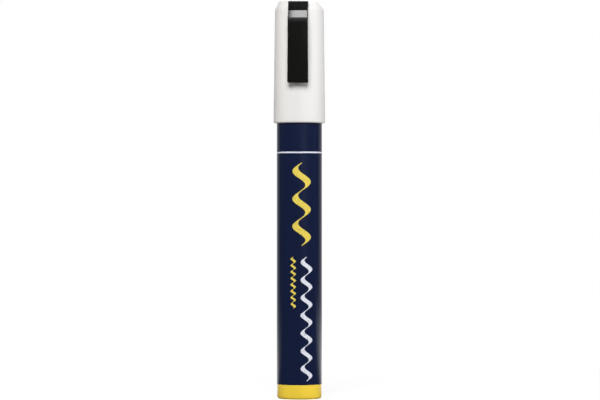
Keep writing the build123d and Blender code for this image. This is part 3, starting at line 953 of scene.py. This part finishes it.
class MARKER_OT_cap_shell(bpy.types.Operator):
    """Turns the cap, cuts the notch for the clip's root and adds the ribs inside"""

    bl_idname = "marker.cap_shell"
    bl_label = "Cap"

    def execute(self, context):
        settings = context.scene.marker_cap
        clip = context.scene.marker_clip
        bevel_low = cap_high.z - settings.bevel_height
        corners = [
            (0, cap_high.z - settings.gate_depth, 0),
            (settings.gate - settings.gate_depth, cap_high.z - settings.gate_depth, 0),
            (settings.gate, cap_high.z, settings.gate_depth / 2),
            (settings.shoulder - settings.bevel_width, cap_high.z, settings.crown_round),
            (settings.shoulder, bevel_low, settings.shoulder_round),
            (settings.mouth, cap_low.z, settings.lip_round),
            (settings.bore, cap_low.z, 0),
            (settings.bore, settings.ceiling, 0),
            (0, settings.ceiling, 0),
        ]
        piece = turn("cap_tube", corners)
        half = settings.notch_width / 2
        notch = add_block(
            (-half, -2 * settings.mouth, settings.notch_floor),
            (half, -settings.notch_back, cap_high.z + settings.bevel_height),
        )
        combine(piece, notch, "DIFFERENCE")
        bar = add_bar(settings.socket_radius, settings.socket_width, clip.bead_out, clip.bead_height)
        combine(piece, bar, "DIFFERENCE")
        combine(piece, self.add_ribs(settings), "UNION")
        settle(piece)
        material = moulded_finish("white_plastic", settings.white, roughness=0.34, patch=7 * MM, spread=0.03)
        hand_over(piece, "cap_shell", "cap", material)
        return {"FINISHED"}

    def add_ribs(self, settings):
        """Adds the ribs that hold the liner, as one tool."""
        ribs = []
        half = settings.rib_width / 2
        for index in range(RIB_COUNT):
            rib = add_block(
                (settings.rib_in, -half, settings.rib_low),
                (settings.bore + half, half, settings.ceiling + half),
            )
            bpy.ops.object.transform_apply()
            rib.rotation_euler = (0, 0, index * 2 * pi / RIB_COUNT)
            ribs.append(rib)
        for rib in ribs:
            rib.select_set(True)
        bpy.ops.object.transform_apply()
        bpy.ops.object.join()
        return bpy.context.object


class MARKER_OT_inner_cap(bpy.types.Operator):
    """Turns the liner that keeps the nib from drying out"""

    bl_idname = "marker.inner_cap"
    bl_label = "Inner cap"

    def execute(self, context):
        settings = context.scene.marker_cap
        relief = settings.liner_in - settings.lip
        lip_top = liner_low.z + settings.lip_height
        corners = [
            (0, liner_high.z, 0),
            (liner_high.x, liner_high.z, settings.roof_edge),
            (liner_high.x, liner_low.z, settings.liner_rim),
            (settings.lip, liner_low.z, settings.liner_rim),
            (settings.lip, lip_top, 0),
            (settings.liner_in, lip_top + relief, 0),
            (settings.liner_in, liner_high.z - settings.roof, settings.roof_round),
            (0, liner_high.z - settings.roof, 0),
        ]
        piece = turn("inner_cap_cup", corners)
        material = moulded_finish("liner_plastic", settings.liner, roughness=0.42, patch=5 * MM)
        hand_over(piece, "inner_cap", "cap", material)
        return {"FINISHED"}


class MARKER_OT_clip(bpy.types.Operator):
    """Models the pocket clip with its sloping face, its hinge bead and its nub"""

    bl_idname = "marker.clip"
    bl_label = "Pocket clip"

    def execute(self, context):
        settings = context.scene.marker_clip
        piece = self.draw_side(settings, context.scene.marker_cap)
        self.trim_sides(settings)
        self.round_corners(piece, settings)
        round_edges(piece, settings.edge_round, angle=radians(40))
        nub = add_bar(settings.nub_radius, settings.nub_width, settings.inside, settings.nub_height)
        bead_low = settings.bead_height - settings.bead_radius
        share = (clip_high.z - bead_low) / (clip_high.z - clip_low.z)
        width = settings.root_width + (settings.tip_width - settings.root_width) * share
        web = add_block(
            (-width / 2, -settings.bead_out - settings.bead_neck / 2, settings.bead_height),
            (width / 2, -settings.bead_out + settings.bead_neck / 2, settings.under + settings.gap),
        )
        bead = add_bar(settings.bead_radius, width, settings.bead_out, settings.bead_height)
        # The nub goes on before the web, whose joint leaves narrow faces that a later join could tear.
        for tool in (nub, web, bead):
            combine(piece, tool, "UNION")
        settle(piece)
        material = moulded_finish(
            "black_plastic", settings.black, roughness=0.20, patch=4 * MM, spread=0.2, depth=0.004 * MM
        )
        hand_over(piece, "pocket_clip", "clip", material)
        return {"FINISHED"}

    def draw_side(self, settings, cap):
        """Draws the clip's side and pushes it out to a wide slab."""
        front = -clip_low.y
        bevel_low = cap_high.z - cap.bevel_height
        bevel_out = cap.shoulder - cap.bevel_width * (cap.notch_floor - bevel_low) / cap.bevel_height
        side = [
            (settings.back, settings.under, 0),
            (settings.back, clip_high.z, 0),
            (settings.front, clip_high.z, 0),
            (settings.front, settings.crease, settings.crease_round),
            (front, settings.bend, settings.bend_round),
            (front, clip_low.z, 0),
            (settings.inside, clip_low.z, 0),
            (settings.inside, settings.bend - settings.gap, settings.bend_round),
            (cap.shoulder + settings.gap, settings.heel, 0),
            (cap.shoulder + settings.gap, bevel_low, 0),
            (bevel_out + settings.gap, settings.under, 0),
        ]
        placed = [((-settings.tip_width, -out, height), rounding) for out, height, rounding in side]
        piece = draw_outline("clip_body", placed, closed=True)
        edit_all()
        bpy.ops.mesh.edge_face_add()
        bpy.ops.mesh.extrude_region_move(TRANSFORM_OT_translate={"value": (2 * settings.tip_width, 0, 0)})
        edit_all()
        bpy.ops.mesh.normals_make_consistent(inside=False)
        return piece

    def trim_sides(self, settings):
        """Trims the slab to the clip's front outline, which widens a little towards its end."""
        widening = (settings.tip_width - settings.root_width) / 2
        length = clip_high.z - clip_low.z
        for side in (-1, 1):
            trim((side * settings.root_width / 2, 0, clip_high.z), (side * length, 0, widening))

    def round_corners(self, piece, settings):
        """Rounds the tongue's two lower corners."""
        low = clip_low.z + settings.gap
        out = settings.tip_width / 2 - settings.gap
        pick(piece, "EDGE", lambda edge: all(v.co.z < low and abs(v.co.x) > out for v in edge.verts))
        bpy.ops.mesh.bevel(offset=settings.corner_round, segments=ROUND_STEPS, affect="EDGES")


class MARKER_PT_pieces(bpy.types.Panel):
    """Lists the marker's pieces and their sizes and colours"""

    bl_idname = "MARKER_PT_pieces"
    bl_label = "Chalk marker"
    bl_space_type = "VIEW_3D"
    bl_region_type = "UI"
    bl_category = "Marker"

    def draw(self, context):
        for operator in OPERATORS:
            self.layout.operator(operator.bl_idname)
        for attribute in SETTINGS:
            group = getattr(context.scene, attribute)
            box = self.layout.box()
            box.label(text=group.__doc__)
            for key in group.__annotations__:
                box.prop(group, key)


OPERATORS = (
    MARKER_OT_stage,
    MARKER_OT_barrel,
    MARKER_OT_end_plug,
    MARKER_OT_nose,
    MARKER_OT_nib,
    MARKER_OT_valve,
    MARKER_OT_balls,
    MARKER_OT_cap_shell,
    MARKER_OT_inner_cap,
    MARKER_OT_clip,
)
SETTINGS = {
    "marker_stage": StageSettings,
    "marker_barrel": BarrelSettings,
    "marker_plug": PlugSettings,
    "marker_nose": NoseSettings,
    "marker_nib": NibSettings,
    "marker_valve": ValveSettings,
    "marker_cap": CapSettings,
    "marker_clip": ClipSettings,
}


def register():
    """Registers the settings, the operators and the panel."""
    for attribute, group in SETTINGS.items():
        bpy.utils.register_class(group)
        setattr(bpy.types.Scene, attribute, bpy.props.PointerProperty(type=group))
    for operator in OPERATORS:
        bpy.utils.register_class(operator)
    bpy.utils.register_class(MARKER_PT_pieces)


def unregister():
    """Takes all of them out again."""
    bpy.utils.unregister_class(MARKER_PT_pieces)
    for operator in reversed(OPERATORS):
        bpy.utils.unregister_class(operator)
    for attribute, group in reversed(SETTINGS.items()):
        delattr(bpy.types.Scene, attribute)
        bpy.utils.unregister_class(group)


def main():
    """Builds every piece in turn."""
    register()
    bpy.ops.marker.stage()
    bpy.ops.marker.barrel()
    bpy.ops.marker.end_plug()
    bpy.ops.marker.nose()
    bpy.ops.marker.nib()
    bpy.ops.marker.valve()
    bpy.ops.marker.balls()
    bpy.ops.marker.cap_shell()
    bpy.ops.marker.inner_cap()
    bpy.ops.marker.clip()
    deselect()


if __name__ == "__main__":
    main()
